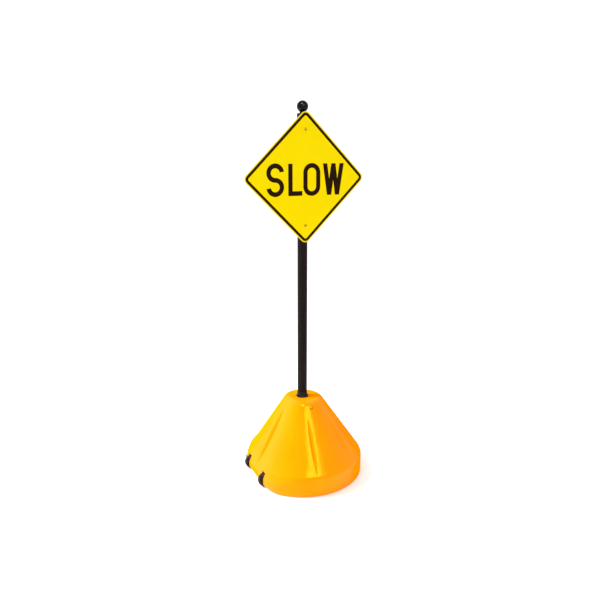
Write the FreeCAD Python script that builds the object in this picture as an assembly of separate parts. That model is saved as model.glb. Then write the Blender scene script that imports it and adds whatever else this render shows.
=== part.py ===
import FreeCAD, Part
import math
import os

from FreeCAD import Vector

# Portable SLOW sign: a diamond sign on a round pole that stands in a hollow cone base with two
# tip-and-roll wheels. Millimetres, +Z up. The origin is on the floor on the pole's axis, the sign
# faces -Y, and the base's flat side and its wheels are on -X.

INCH = 25.4

# Base: a hollow moulded cone on a short upright skirt. In plan it is a circle with one flat side,
# which starts to lean in lower down than the round side does. The corners between the two end at
# an angle from -X that is smaller on the skirt than on the cone.
BASE_RADIUS = 424.0
SKIRT_HEIGHT = 136.0
BASE_HEIGHT = 557.0
CONE_TOP_RADIUS = 132.0
FLAT_REACH = 368.0
FLAT_WALL_HEIGHT = 66.0
FLAT_TOP_REACH = 102.0
SKIRT_CORNER_END = 48.0
CONE_CORNER_END = 82.0
CORNER_SPREAD_HEIGHT = 125.0
WALL = 5.0
BOTTOM_ROUND = 16.0
CREASE_ROUND = 40.0
SHOULDER_ROUND = 48.0
SECTION_STEPS = 5
TOE_HEIGHT = 20.0
TOE_RUN = 60.0

# Flutes: shallow pointed hollows up the cone, on a 22.5 degree grid that some places skip.
FLUTE_GRID = 22.5
FLUTE_PLACES = (0, 2.5, 3.5, 5.5, 6.5)
FLUTE_LOW = 150.0
FLUTE_HIGH = 474.0
FLUTE_WIDTH = 44.0
FLUTE_DEPTH = 10.0
FLUTE_RUNOUT = 30.0

# Wheels and axle, on the flat side. The wheels clear the floor until the base is tipped.
WHEEL_RADIUS = 48.0
WHEEL_WIDTH = 40.0
WHEEL_TRACK = 276.0
WHEEL_FLOOR_GAP = 1.0
AXLE_X = -344.0
AXLE_Z = WHEEL_RADIUS + WHEEL_FLOOR_GAP
AXLE_RADIUS = 0.25 * INCH
AXLE_END = 198.0
RUNNING_GAP = 0.05
HUB_RADIUS = 31.0
HUB_FACE_WIDTH = 44.0
WASHER_THICKNESS = 2.0
WELL_RADIUS = 54.0
WELL_WIDTH = 49.0
PLUG_SEAT_DEPTH = 6.0

# Pole: 2-5/8 inch tube, 8 feet long, standing on a foot plug at the bottom of the socket.
POLE_RADIUS = 2.625 * INCH / 2
POLE_WALL = 1.65
POLE_LENGTH = 96 * INCH
SOCKET_FLOOR = 30.0
SOCKET_RADIUS = POLE_RADIUS + 0.6
FOOT_FLANGE = 4.0
FOOT_PLUG_HEIGHT = 25.0
POLE_FOOT = SOCKET_FLOOR + FOOT_FLANGE
POLE_TOP = POLE_FOOT + POLE_LENGTH

# Collar: a flared boot round the pole that seats in the socket's mouth.
COLLAR_SEAT_RADIUS = 37.0
COLLAR_SEAT_DEPTH = 20.0
COLLAR_FOOT_RADIUS = 42.5
COLLAR_HEIGHT = 36.0
COLLAR_TOP_RADIUS = 35.1

# Lock bolt: 3/8 inch, through the front of the cone to the pole.
LOCK_Z = 524.0
LOCK_RADIUS = 0.1875 * INCH
LOCK_SEAT_Y = -146.0
LOCK_TIP_GAP = 0.4
LOCK_HEAD_FLATS = 0.5625 * INCH
LOCK_HEAD_HEIGHT = 6.0
LOCK_WASHER_RADIUS = 9.5
LOCK_WASHER_THICKNESS = 1.6
LOCK_DIMPLE_RADIUS = 12.0
INSERT_RADIUS = 8.0
INSERT_LENGTH = 20.0
TUNNEL_RADIUS = 6.0

# Fill neck and cap, square to the slope of the cone, on the back.
FILL_ANGLE = -101.25
FILL_Z = 306.0
NECK_RADIUS = 36.0
NECK_RISE = 10.0
NECK_BORE_RADIUS = 26.0
GASKET_THICKNESS = 2.0
GASKET_GAP = 0.02
CAP_RADIUS = 39.0
CAP_FLANGE = 6.0
CAP_PLUG_DEPTH = 14.0
CAP_GRIP_HEIGHT = 11.0
CAP_GRIP_WIDTH = 12.0

# Ball cap on top of the pole.
BALL_RADIUS = 37.0
BALL_CENTRE_Z = 2524.0
CAP_NECK_RADIUS = 18.5
CAP_SKIRT_RADIUS = 36.2
CAP_SKIRT_LENGTH = 28.0
CAP_ROOF = 9.0
SET_SCREW_RADIUS = 3.0

# Sign: a 24 inch square on its corner, with film on its face.
SIGN_SIDE = 24 * INCH
SIGN_CORNER = 1.5 * INCH
SIGN_THICKNESS = 0.08 * INCH
SIGN_CENTRE_Z = 2077.0
SIGN_BACK_Y = -47.5
SHEETING_THICKNESS = 0.3
INK_THICKNESS = 0.15
BORDER_MARGIN = 0.3125 * INCH
BORDER_WIDTH = 0.6875 * INCH
BOLT_SPACING = 24 * INCH

# Legend: 8 inch capitals, each drawn from bars and arcs of one stroke width.
LETTER_HEIGHT = 8 * INCH
LETTER_STROKE = 30.0
LEGEND_FOOT = -110.0
S_LEFT, S_WIDTH = -270.0, 120.0
L_LEFT, L_WIDTH = -121.0, 98.0
O_LEFT, O_WIDTH = -16.0, 121.0
W_LEFT, W_WIDTH = 123.0, 152.0
W_STROKE = 31.0

# Sign clamps: a saddle in front of the pole and a strap behind it, drawn together by two bolts.
CLAMP_HEIGHT = 40.0
CLAMP_BORE = POLE_RADIUS + 0.1
CLAMP_METAL = 4.0
CLAMP_SPLIT = 4.0
EAR_REACH = 61.0
EAR_THICKNESS = 6.0
EAR_BOLT_X = 49.0
SADDLE_HALF_WIDTH = 22.0
CLAMP_BOLT_RADIUS = 0.15625 * INCH
CLAMP_HOLE_RADIUS = CLAMP_BOLT_RADIUS + 0.4
CLAMP_HEAD_FLATS = 0.5 * INCH
CLAMP_HEAD_HEIGHT = 5.3
CLAMP_NUT_HEIGHT = 6.7
CLAMP_WASHER_RADIUS = 8.7
CLAMP_WASHER_THICKNESS = 1.6
NUT_POCKET_FLOOR = 5.5
SIGN_WASHER_RADIUS = 9.5
SIGN_WASHER_THICKNESS = 1.2

TINY = 1e-4
X_AXIS = Vector(1, 0, 0)
Y_AXIS = Vector(0, 1, 0)
Z_AXIS = Vector(0, 0, 1)


# ---- Small tools ---------------------------------------------------------------------------

def cylinder(radius, start, direction, length):
    """A round bar from start along direction."""
    return Part.makeCylinder(radius, length, start, direction)


def ring(outer, inner, start, direction, length):
    """A round bar with a round hole right through it."""
    return cylinder(outer, start, direction, length).cut(cylinder(inner, start, direction, length))


def block(low, high):
    """A box between two corners."""
    return Part.makeBox(high[0] - low[0], high[1] - low[1], high[2] - low[2], Vector(*low))


def hexagon(flats, start, direction, length):
    """A hexagonal bar of the given width across its flats."""
    corner = flats / math.sqrt(3)
    turns = [math.radians(60 * i) for i in range(7)]
    outline = Part.makePolygon([Vector(corner * math.cos(a), corner * math.sin(a), 0) for a in turns])
    bar = Part.Face(outline).extrude(Vector(0, 0, length))
    bar.Placement = FreeCAD.Placement(start, FreeCAD.Rotation(Z_AXIS, direction))
    return bar


def turned(edges):
    """A solid of revolution about Z from a closed outline drawn in the XZ plane."""
    return Part.Face(Part.Wire(edges)).revolve(Vector(0, 0, 0), Z_AXIS, 360)


def path(points):
    """Straight edges through (radius, height) points, in the XZ plane."""
    places = [Vector(r, 0, z) for r, z in points]
    return [Part.makeLine(a, b) for a, b in zip(places, places[1:])]


def arc(start, middle, end):
    """An arc through three (radius, height) points, in the XZ plane."""
    return Part.Arc(*[Vector(r, 0, z) for r, z in (start, middle, end)]).toShape()


def level_edges(shape, height):
    """The edges of a shape that lie at one height."""
    def is_level(edge):
        box = edge.BoundBox
        return abs(box.ZMin - height) < TINY * BASE_HEIGHT and abs(box.ZMax - height) < TINY * BASE_HEIGHT
    return [edge for edge in shape.Edges if is_level(edge)]


def fused(shapes):
    """One solid from shapes that touch or overlap."""
    return shapes[0].multiFuse(shapes[1:]).removeSplitter()


# ---- Base shell ----------------------------------------------------------------------------

CONE_DROP = BASE_HEIGHT - SKIRT_HEIGHT
CONE_RUN = BASE_RADIUS - CONE_TOP_RADIUS
CONE_SLANT = math.hypot(CONE_DROP, CONE_RUN)
SLOPE_OUT = CONE_DROP / CONE_SLANT
SLOPE_UP = CONE_RUN / CONE_SLANT
ROUND_SLOPE = CONE_RUN / CONE_DROP
FLAT_SLOPE = (FLAT_REACH - FLAT_TOP_REACH) / (BASE_HEIGHT - FLAT_WALL_HEIGHT)


def around(angle):
    """The level direction at an angle from -X, turning towards -Y."""
    turn = math.radians(angle)
    return Vector(-math.cos(turn), -math.sin(turn), 0)


def crease_span(crease, slope, inset):
    """Where the round between an upright wall and a leaning one starts and ends, and its radius."""
    turn = math.atan(slope)
    rounding = CREASE_ROUND - inset
    start = crease - CREASE_ROUND * math.tan(turn / 2)
    return start, start + rounding * math.sin(turn), rounding


def wall_reach(reach, crease, slope, inset, height):
    """How far out a wall is at a height: upright, then a round, then leaning in."""
    start, end, rounding = crease_span(crease, slope, inset)
    if height <= start:
        return reach - inset
    if height < end:
        return reach - inset - rounding + math.sqrt(rounding ** 2 - (height - start) ** 2)
    return reach - slope * (height - crease) - inset / math.cos(math.atan(slope))


def round_reach(height, inset=0.0):
    """The base's radius at a height, on its round side."""
    return wall_reach(BASE_RADIUS, SKIRT_HEIGHT, ROUND_SLOPE, inset, height)


def flat_reach(height, inset=0.0):
    """How far the flat side is from the pole's axis at a height."""
    return wall_reach(FLAT_REACH, FLAT_WALL_HEIGHT, FLAT_SLOPE, inset, height)


def corner_end(height):
    """The angle from -X where the corners run into the round side."""
    spread = (height - FLAT_WALL_HEIGHT) / CORNER_SPREAD_HEIGHT
    return SKIRT_CORNER_END + (CONE_CORNER_END - SKIRT_CORNER_END) * min(1.0, max(0.0, spread))


def corner_arc(height, inset=0.0):
    """The centre and radius of the +Y corner's plan arc at a height."""
    end = around(-corner_end(height))
    radius = round_reach(height, inset)
    corner = (flat_reach(height, inset) + radius * end.x) / (1 + end.x)
    return end * (radius - corner) + Z_AXIS * height, corner


def section(height, inset):
    """The base's plan outline at a height: a circle, one flat side, and an arc at each end of it."""
    radius = round_reach(height, inset)
    centre, corner = corner_arc(height, inset)
    joint = centre + around(-corner_end(height)) * corner
    middle = centre + around(-corner_end(height) / 2) * corner
    flat_end = centre + around(0) * corner

    def mirrored(point):
        return Vector(point.x, -point.y, point.z)

    edges = [
        Part.Arc(mirrored(joint), Vector(radius, 0, height), joint).toShape(),
        Part.Arc(joint, middle, flat_end).toShape(),
        Part.makeLine(flat_end, mirrored(flat_end)),
        Part.Arc(mirrored(flat_end), mirrored(middle), mirrored(joint)).toShape(),
    ]
    return Part.Wire(edges)


def base_body(inset):
    """The outside of the base, or, with an inset, the space inside its walls."""
    low, top = inset, BASE_HEIGHT - inset
    steps = range(SECTION_STEPS + 1)
    heights = {low, top}
    heights.update(FLAT_WALL_HEIGHT + CORNER_SPREAD_HEIGHT * step / SECTION_STEPS for step in steps)
    for crease, slope in ((SKIRT_HEIGHT, ROUND_SLOPE), (FLAT_WALL_HEIGHT, FLAT_SLOPE)):
        start, end, rounding = crease_span(crease, slope, inset)
        turn = math.atan(slope) / SECTION_STEPS
        heights.update(start + rounding * math.sin(turn * step) for step in steps)
    body = Part.makeLoft([section(height, inset) for height in sorted(heights)], True, True)
    body = body.makeFillet(BOTTOM_ROUND - inset, level_edges(body, low))
    return body.makeFillet(SHOULDER_ROUND - inset, level_edges(body, top))


def wall_point(angle, height):
    """The point of the base's wall at an angle and height, and which way it faces in plan."""
    way = around(angle)
    centre, corner = corner_arc(height)
    centre = Vector(centre.x, math.copysign(centre.y, way.y), 0)
    flat = flat_reach(height)
    if abs(angle) >= corner_end(height):
        point, facing = way * round_reach(height), way
    elif abs(math.tan(math.radians(angle))) * flat <= abs(centre.y):
        point, facing = way * (flat / -way.x), around(0)
    else:
        ahead = way.dot(centre)
        point = way * (ahead + math.sqrt(corner ** 2 - centre.dot(centre) + ahead ** 2))
        facing = (point - centre).normalize()
    return point + Z_AXIS * height, facing


def flute_tool(angle, extra):
    """A slender spindle that lies along the cone and cuts one flute."""
    low, facing = wall_point(angle, FLUTE_LOW)
    high = wall_point(angle, FLUTE_HIGH)[0]
    along = (high - low).normalize()
    outward = (facing - along * facing.dot(along)).normalize()
    length = (high - low).Length
    middle_radius = (FLUTE_WIDTH ** 2 / 4 + FLUTE_DEPTH ** 2) / (2 * FLUTE_DEPTH)
    standoff = middle_radius - FLUTE_DEPTH
    bow = (length ** 2 / 4 + FLUTE_DEPTH ** 2) / (2 * FLUTE_DEPTH)
    reach = length / 2 + FLUTE_RUNOUT
    end_radius = middle_radius - bow + math.sqrt(bow ** 2 - reach ** 2) + extra
    side = arc((end_radius, -reach), (middle_radius + extra, 0), (end_radius, reach))
    rest = path([(end_radius, reach), (0, reach), (0, -reach), (end_radius, -reach)])
    spindle = turned([side] + rest)
    centre = (low + high) * 0.5 + outward * standoff
    spindle.Placement = FreeCAD.Placement(centre, FreeCAD.Rotation(Z_AXIS, along))
    return spindle


def wheel_centre(side):
    """The centre of a wheel; side is -1 for the wheel towards -Y and 1 for the other."""
    return Vector(AXLE_X, side * WHEEL_TRACK / 2, AXLE_Z)


def wheel_well(side, extra):
    """The arched pocket that a wheel turns in, open below and through the flat side."""
    width = WELL_WIDTH + 2 * extra
    radius = WELL_RADIUS + extra
    near = wheel_centre(side) - Y_AXIS * (width / 2)
    arch = cylinder(radius, near, Y_AXIS, width)
    below = block((AXLE_X - radius, near.y, -SKIRT_HEIGHT), (AXLE_X + radius, near.y + width, AXLE_Z))
    return fused([arch, below])


def axle_tunnel(extra):
    """The hole for the axle: blind at -Y, and right through the wall at +Y for putting it in."""
    return cylinder(AXLE_RADIUS + RUNNING_GAP + extra, Vector(AXLE_X, -AXLE_END - extra, AXLE_Z),
                    Y_AXIS, AXLE_END + extra + BASE_RADIUS)


def plug_seat_y():
    """Where the axle's end plug sits, inside the rounded corner of the base at +Y."""
    centre, corner = corner_arc(AXLE_Z)
    surface = centre.y + math.sqrt(corner ** 2 - (AXLE_X - centre.x) ** 2)
    return surface - 2 * PLUG_SEAT_DEPTH


def toe_wedge(extra):
    """The wedge left off under the flat side, so that the base can be tipped on to its wheels."""
    lift = extra / math.cos(math.atan2(TOE_HEIGHT, TOE_RUN))
    heel = -FLAT_REACH + TOE_RUN
    rise = TOE_HEIGHT / TOE_RUN
    far = -FLAT_REACH - TOE_RUN
    corners = [(heel, lift), (far, lift + rise * (heel - far)), (far, -WALL), (heel, -WALL), (heel, lift)]
    side = Part.makePolygon([Vector(x, -BASE_RADIUS, z) for x, z in corners])
    return Part.Face(side).extrude(Vector(0, 2 * BASE_RADIUS, 0))


def base_hollows(extra):
    """Everything cut into the base from outside; with extra, the same things in their walls."""
    flute_angles = {side * place * FLUTE_GRID for place in FLUTE_PLACES for side in (-1, 1)}
    hollows = [flute_tool(angle, extra) for angle in sorted(flute_angles)]
    hollows += [wheel_well(side, extra) for side in (-1, 1)]
    hollows.append(toe_wedge(extra))
    hollows.append(axle_tunnel(extra))
    hollows.append(cylinder(2 * AXLE_RADIUS + extra, Vector(AXLE_X, plug_seat_y() - extra, AXLE_Z),
                            Y_AXIS, BASE_RADIUS))
    hollows.append(cylinder(SOCKET_RADIUS + extra, Vector(0, 0, SOCKET_FLOOR - extra), Z_AXIS, BASE_HEIGHT))
    hollows.append(cylinder(COLLAR_SEAT_RADIUS + extra,
                            Vector(0, 0, BASE_HEIGHT - COLLAR_SEAT_DEPTH - extra), Z_AXIS, BASE_HEIGHT))
    front = Vector(0, -BASE_RADIUS, LOCK_Z)
    hollows.append(cylinder(LOCK_DIMPLE_RADIUS + extra, front, Y_AXIS, LOCK_SEAT_Y + extra + BASE_RADIUS))
    hollows.append(cylinder(INSERT_RADIUS + extra, front, Y_AXIS,
                            LOCK_SEAT_Y + INSERT_LENGTH + extra + BASE_RADIUS))
    hollows.append(cylinder(TUNNEL_RADIUS + extra, front, Y_AXIS, BASE_RADIUS))
    return hollows


def fill_frame():
    """The middle of the fill neck on the cone's surface, and the way the neck points."""
    surface, facing = wall_point(FILL_ANGLE, FILL_Z)
    return surface, facing * SLOPE_OUT + Z_AXIS * SLOPE_UP


def base_shell():
    """The hollow base: outside, less its hollows, less the ballast space inside the walls."""
    fill_place, fill_way = fill_frame()
    outside = base_body(0).cut(base_hollows(0))
    inside = base_body(WALL).cut(base_hollows(WALL))
    neck = cylinder(NECK_RADIUS, fill_place - fill_way * WALL, fill_way, WALL + NECK_RISE)
    bore = cylinder(NECK_BORE_RADIUS, fill_place - fill_way * 4 * WALL, fill_way, 4 * WALL + 2 * NECK_RISE)
    return outside.fuse(neck).cut(inside).cut(bore).removeSplitter()


# ---- Fill cap ------------------------------------------------------------------------------

def neck_rim():
    """The middle of the neck's rim, and the way the neck points."""
    fill_place, fill_way = fill_frame()
    return fill_place + fill_way * NECK_RISE, fill_way


def fill_cap_gasket():
    rim, way = neck_rim()
    return ring(NECK_RADIUS - 1, NECK_BORE_RADIUS + 0.5, rim, way, GASKET_THICKNESS)


def fill_cap():
    """A screw plug with a flange and a bar across it to turn it by; hollow underneath."""
    rim, way = neck_rim()
    seat = rim + way * (GASKET_THICKNESS + GASKET_GAP)
    flange = cylinder(CAP_RADIUS, seat, way, CAP_FLANGE)
    flange = flange.makeFillet(2.0, [edge for edge in flange.Edges
                                     if edge.Closed and edge.CenterOfMass.distanceToPoint(seat) > 1])
    plug_radius = NECK_BORE_RADIUS - 0.3
    plug = cylinder(plug_radius, seat - way * CAP_PLUG_DEPTH, way, CAP_PLUG_DEPTH)
    hollow = cylinder(plug_radius - 4, seat - way * CAP_PLUG_DEPTH, way, CAP_PLUG_DEPTH)
    grip = block((-CAP_RADIUS + 8, -CAP_GRIP_WIDTH / 2, 0), (CAP_RADIUS - 8, CAP_GRIP_WIDTH / 2, CAP_GRIP_HEIGHT))
    grip = grip.makeFillet(4.0, [edge for edge in grip.Edges if edge.BoundBox.ZMin > TINY])
    grip.Placement = FreeCAD.Placement(seat + way * CAP_FLANGE, FreeCAD.Rotation(Z_AXIS, way))
    return fused([flange, plug, grip]).cut(hollow)


# ---- Collar, lock bolt and insert ----------------------------------------------------------

def socket_collar():
    """A flared boot that stands on the base round the pole, with a sleeve in the socket's mouth."""
    bore = POLE_RADIUS + 0.07
    sleeve = COLLAR_SEAT_RADIUS - 0.1
    low = BASE_HEIGHT - COLLAR_SEAT_DEPTH + 0.5
    top = BASE_HEIGHT + COLLAR_HEIGHT
    flare = arc((COLLAR_FOOT_RADIUS, BASE_HEIGHT + 5), (COLLAR_TOP_RADIUS + 1.1, BASE_HEIGHT + 15),
                (COLLAR_TOP_RADIUS, top))
    walls = path([(bore, low), (sleeve, low), (sleeve, BASE_HEIGHT), (COLLAR_FOOT_RADIUS, BASE_HEIGHT),
                  (COLLAR_FOOT_RADIUS, BASE_HEIGHT + 5)])
    rest = path([(COLLAR_TOP_RADIUS, top), (bore, top), (bore, low)])
    return turned(walls + [flare] + rest)


def lock_insert():
    """The brass nut moulded into the cone; its thread is drawn as a plain running hole."""
    return ring(INSERT_RADIUS, LOCK_RADIUS + RUNNING_GAP, Vector(0, LOCK_SEAT_Y, LOCK_Z), Y_AXIS, INSERT_LENGTH)


def lock_bolt_washer():
    start = Vector(0, LOCK_SEAT_Y - LOCK_WASHER_THICKNESS, LOCK_Z)
    return ring(LOCK_WASHER_RADIUS, LOCK_RADIUS + 0.3, start, Y_AXIS, LOCK_WASHER_THICKNESS)


def lock_bolt():
    """A hexagon bolt whose tip stops just short of the pole."""
    under_head = Vector(0, LOCK_SEAT_Y - LOCK_WASHER_THICKNESS, LOCK_Z)
    tip = -POLE_RADIUS - LOCK_TIP_GAP
    shank = cylinder(LOCK_RADIUS, under_head, Y_AXIS, tip - under_head.y)
    head = hexagon(LOCK_HEAD_FLATS, under_head, -Y_AXIS, LOCK_HEAD_HEIGHT)
    return fused([shank, head])


# ---- Wheels and axle -----------------------------------------------------------------------

def wheel_tyre(side):
    """A solid tyre with rounded shoulders and a step inside that grips the hub."""
    shoulder = 9.0
    half = WHEEL_WIDTH / 2
    inner = HUB_RADIUS
    slant = shoulder * (1 - math.sqrt(0.5))
    outline = path([(inner, -half), (WHEEL_RADIUS - shoulder, -half)])
    outline.append(arc((WHEEL_RADIUS - shoulder, -half), (WHEEL_RADIUS - slant, -half + slant),
                       (WHEEL_RADIUS, -half + shoulder)))
    outline += path([(WHEEL_RADIUS, -half + shoulder), (WHEEL_RADIUS, half - shoulder)])
    outline.append(arc((WHEEL_RADIUS, half - shoulder), (WHEEL_RADIUS - slant, half - slant),
                       (WHEEL_RADIUS - shoulder, half)))
    outline += path([(WHEEL_RADIUS - shoulder, half), (inner, half), (inner, -half)])
    return placed_on_axle(turned(outline), side)


def wheel_hub(side):
    """A moulded hub: rim, thin web and a long boss with the axle's hole."""
    rim = 4.0
    web = 5.0
    boss = AXLE_RADIUS + 6
    half = WHEEL_WIDTH / 2
    face = HUB_FACE_WIDTH / 2
    bore = AXLE_RADIUS + RUNNING_GAP
    outline = path([(bore, -face), (boss, -face), (boss, -web), (HUB_RADIUS - rim, -web),
                    (HUB_RADIUS - rim, -half), (HUB_RADIUS, -half), (HUB_RADIUS, half),
                    (HUB_RADIUS - rim, half), (HUB_RADIUS - rim, web), (boss, web), (boss, face),
                    (bore, face), (bore, -face)])
    return placed_on_axle(turned(outline), side)


def placed_on_axle(shape, side):
    """Lays a wheel part, turned about Z, on the axle."""
    shape.Placement = FreeCAD.Placement(wheel_centre(side), FreeCAD.Rotation(Z_AXIS, Y_AXIS))
    return shape


def axle():
    return cylinder(AXLE_RADIUS, Vector(AXLE_X, -AXLE_END + 1, AXLE_Z), Y_AXIS, plug_seat_y() + AXLE_END - 1)


def axle_washers():
    """Four washers, one on each face of each hub."""
    washers = []
    for side in (-1, 1):
        faces = (-HUB_FACE_WIDTH / 2 - WASHER_THICKNESS, HUB_FACE_WIDTH / 2)
        for offset in faces:
            start = wheel_centre(side) + Y_AXIS * offset
            washers.append(ring(AXLE_RADIUS + 7, AXLE_RADIUS, start, Y_AXIS, WASHER_THICKNESS))
    return Part.makeCompound(washers)


def axle_end_plug():
    """A push-in plug that shuts the hole the axle went in by."""
    seat = Vector(AXLE_X, plug_seat_y(), AXLE_Z)
    disc = cylinder(2 * AXLE_RADIUS, seat, Y_AXIS, PLUG_SEAT_DEPTH)
    rim = disc.Edges[0] if disc.Edges[0].CenterOfMass.y > seat.y + 1 else disc.Edges[2]
    return disc.makeFillet(1.5, [rim])


# ---- Pole ----------------------------------------------------------------------------------

def pole():
    return ring(POLE_RADIUS, POLE_RADIUS - POLE_WALL, Vector(0, 0, POLE_FOOT), Z_AXIS, POLE_LENGTH)


def pole_foot_plug():
    """A cup pressed into the pole's foot, with a flange that stands on the socket's floor."""
    plug = POLE_RADIUS - POLE_WALL
    flange = cylinder(POLE_RADIUS, Vector(0, 0, SOCKET_FLOOR), Z_AXIS, FOOT_FLANGE)
    cup = ring(plug, plug - 3, Vector(0, 0, POLE_FOOT), Z_AXIS, FOOT_PLUG_HEIGHT)
    return fused([flange, cup])


def ball_cap():
    """Ball, short waisted neck and a skirt that slips over the pole's top."""
    roof = POLE_TOP + CAP_ROOF
    skirt_foot = POLE_TOP - CAP_SKIRT_LENGTH
    bore = POLE_RADIUS + 0.05
    edge_round = 2.5
    cut_angle = math.asin(CAP_NECK_RADIUS / BALL_RADIUS)
    neck_top = BALL_CENTRE_Z - BALL_RADIUS * math.cos(cut_angle)
    slant = edge_round * (1 - math.sqrt(0.5))
    outline = path([(0, POLE_TOP), (bore, POLE_TOP), (bore, skirt_foot), (CAP_SKIRT_RADIUS, skirt_foot),
                    (CAP_SKIRT_RADIUS, roof - edge_round)])
    outline.append(arc((CAP_SKIRT_RADIUS, roof - edge_round), (CAP_SKIRT_RADIUS - slant, roof - slant),
                       (CAP_SKIRT_RADIUS - edge_round, roof)))
    outline += path([(CAP_SKIRT_RADIUS - edge_round, roof), (CAP_NECK_RADIUS + 2, roof),
                     (CAP_NECK_RADIUS, roof + 2), (CAP_NECK_RADIUS, neck_top)])
    outline.append(arc((CAP_NECK_RADIUS, neck_top), (BALL_RADIUS, BALL_CENTRE_Z), (0, BALL_CENTRE_Z + BALL_RADIUS)))
    outline += path([(0, BALL_CENTRE_Z + BALL_RADIUS), (0, POLE_TOP)])
    return turned(outline).cut(set_screw_bar(POLE_RADIUS, CAP_SKIRT_RADIUS + 1))


def set_screw_bar(inner, outer):
    """A round bar across the cap's skirt at +Y, where the set screw goes."""
    return cylinder(SET_SCREW_RADIUS, Vector(0, inner, POLE_TOP - CAP_SKIRT_LENGTH / 2), Y_AXIS, outer - inner)


def cap_set_screw():
    screw = set_screw_bar(POLE_RADIUS + 0.05, CAP_SKIRT_RADIUS)
    key = hexagon(3.0, Vector(0, CAP_SKIRT_RADIUS - 1.8, POLE_TOP - CAP_SKIRT_LENGTH / 2), Y_AXIS, 2.0)
    return screw.cut(key)


# ---- Sign ----------------------------------------------------------------------------------

FACE_Y = SIGN_BACK_Y - SIGN_THICKNESS
INK_Y = FACE_Y - SHEETING_THICKNESS


def diamond(side, corner, back, thickness):
    """A rounded square plate on its corner, from the plane y = back towards -Y."""
    half = side / 2
    plate = block((-half, back - thickness, -half), (half, back, half))
    plate = plate.makeFillet(corner, [edge for edge in plate.Edges if edge.BoundBox.YLength > thickness / 2
                                      and edge.BoundBox.XLength < TINY and edge.BoundBox.ZLength < TINY])
    plate.rotate(Vector(0, 0, 0), Y_AXIS, 45)
    plate.translate(Vector(0, 0, SIGN_CENTRE_Z))
    return plate


def clamp_heights():
    """The heights of the two sign bolts and their clamps."""
    return (SIGN_CENTRE_Z + BOLT_SPACING / 2, SIGN_CENTRE_Z - BOLT_SPACING / 2)


def drilled(plate, radius):
    """A plate of the sign with the two bolt holes through it."""
    holes = [cylinder(radius, Vector(0, 0, z), -Y_AXIS, 4 * -SIGN_BACK_Y) for z in clamp_heights()]
    return plate.cut(holes)


def sign_panel():
    return drilled(diamond(SIGN_SIDE, SIGN_CORNER, SIGN_BACK_Y, SIGN_THICKNESS), CLAMP_HOLE_RADIUS)


def sign_sheeting():
    return drilled(diamond(SIGN_SIDE, SIGN_CORNER, FACE_Y, SHEETING_THICKNESS), CLAMP_HOLE_RADIUS)


def sign_border():
    outer_side = SIGN_SIDE - 2 * BORDER_MARGIN
    inner_side = outer_side - 2 * BORDER_WIDTH
    outer = diamond(outer_side, SIGN_CORNER - BORDER_MARGIN, INK_Y, INK_THICKNESS)
    return outer.cut(diamond(inner_side, SIGN_CORNER - BORDER_MARGIN - BORDER_WIDTH, INK_Y, INK_THICKNESS))


def sign_point(across, up):
    """A point of the sign's printed surface, measured from the sign's centre."""
    return Vector(across, INK_Y, SIGN_CENTRE_Z + up)


def printed(face):
    """A film of ink on the sign's face."""
    return face.extrude(Vector(0, -INK_THICKNESS, 0))


def bar(left, foot, width, height):
    """An upright or level bar of ink."""
    corners = [(left, foot), (left + width, foot), (left + width, foot + height), (left, foot + height), (left, foot)]
    return printed(Part.Face(Part.makePolygon([sign_point(x, z) for x, z in corners])))


def letter_l():
    upright = bar(L_LEFT, LEGEND_FOOT, LETTER_STROKE, LETTER_HEIGHT)
    foot = bar(L_LEFT, LEGEND_FOOT, L_WIDTH, LETTER_STROKE)
    return fused([upright, foot])


def oblong(middle_x, middle_z, radius, straight):
    """A film with round ends above and below and straight sides between them."""
    ends = [cylinder(radius, sign_point(middle_x, middle_z + side * straight / 2), -Y_AXIS, INK_THICKNESS)
            for side in (-1, 1)]
    return fused(ends + [bar(middle_x - radius, middle_z - straight / 2, 2 * radius, straight)])


def letter_o():
    radius = O_WIDTH / 2
    middle = O_LEFT + radius, LEGEND_FOOT + LETTER_HEIGHT / 2
    straight = LETTER_HEIGHT - O_WIDTH + 6
    return oblong(*middle, radius, straight).cut(oblong(*middle, radius - LETTER_STROKE, straight))


def letter_w():
    """Four slanting bars that share their ends."""
    span = W_WIDTH - W_STROKE
    tops_and_feet = [(0, 1), (0.26, 0), (0.5, 1), (0.74, 0), (1, 1)]
    legs = []
    for (x0, up0), (x1, up1) in zip(tops_and_feet, tops_and_feet[1:]):
        a, b = W_LEFT + span * x0, W_LEFT + span * x1
        z0, z1 = LEGEND_FOOT + LETTER_HEIGHT * up0, LEGEND_FOOT + LETTER_HEIGHT * up1
        corners = [(a, z0), (a + W_STROKE, z0), (b + W_STROKE, z1), (b, z1), (a, z0)]
        legs.append(printed(Part.Face(Part.makePolygon([sign_point(x, z) for x, z in corners]))))
    return fused(legs)


def arc_band(centre, radius, start, end):
    """A curved band of one stroke width about a centre, between two angles in degrees."""
    def at(reach, degrees):
        turn = math.radians(degrees)
        return sign_point(centre[0] + reach * math.cos(turn), centre[1] + reach * math.sin(turn))

    outer, inner = radius + LETTER_STROKE / 2, radius - LETTER_STROKE / 2
    middle = (start + end) / 2
    edges = [
        Part.Arc(at(outer, start), at(outer, middle), at(outer, end)).toShape(),
        Part.makeLine(at(outer, end), at(inner, end)),
        Part.Arc(at(inner, end), at(inner, middle), at(inner, start)).toShape(),
        Part.makeLine(at(inner, start), at(outer, start)),
    ]
    return printed(Part.Face(Part.Wire(edges)))


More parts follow.
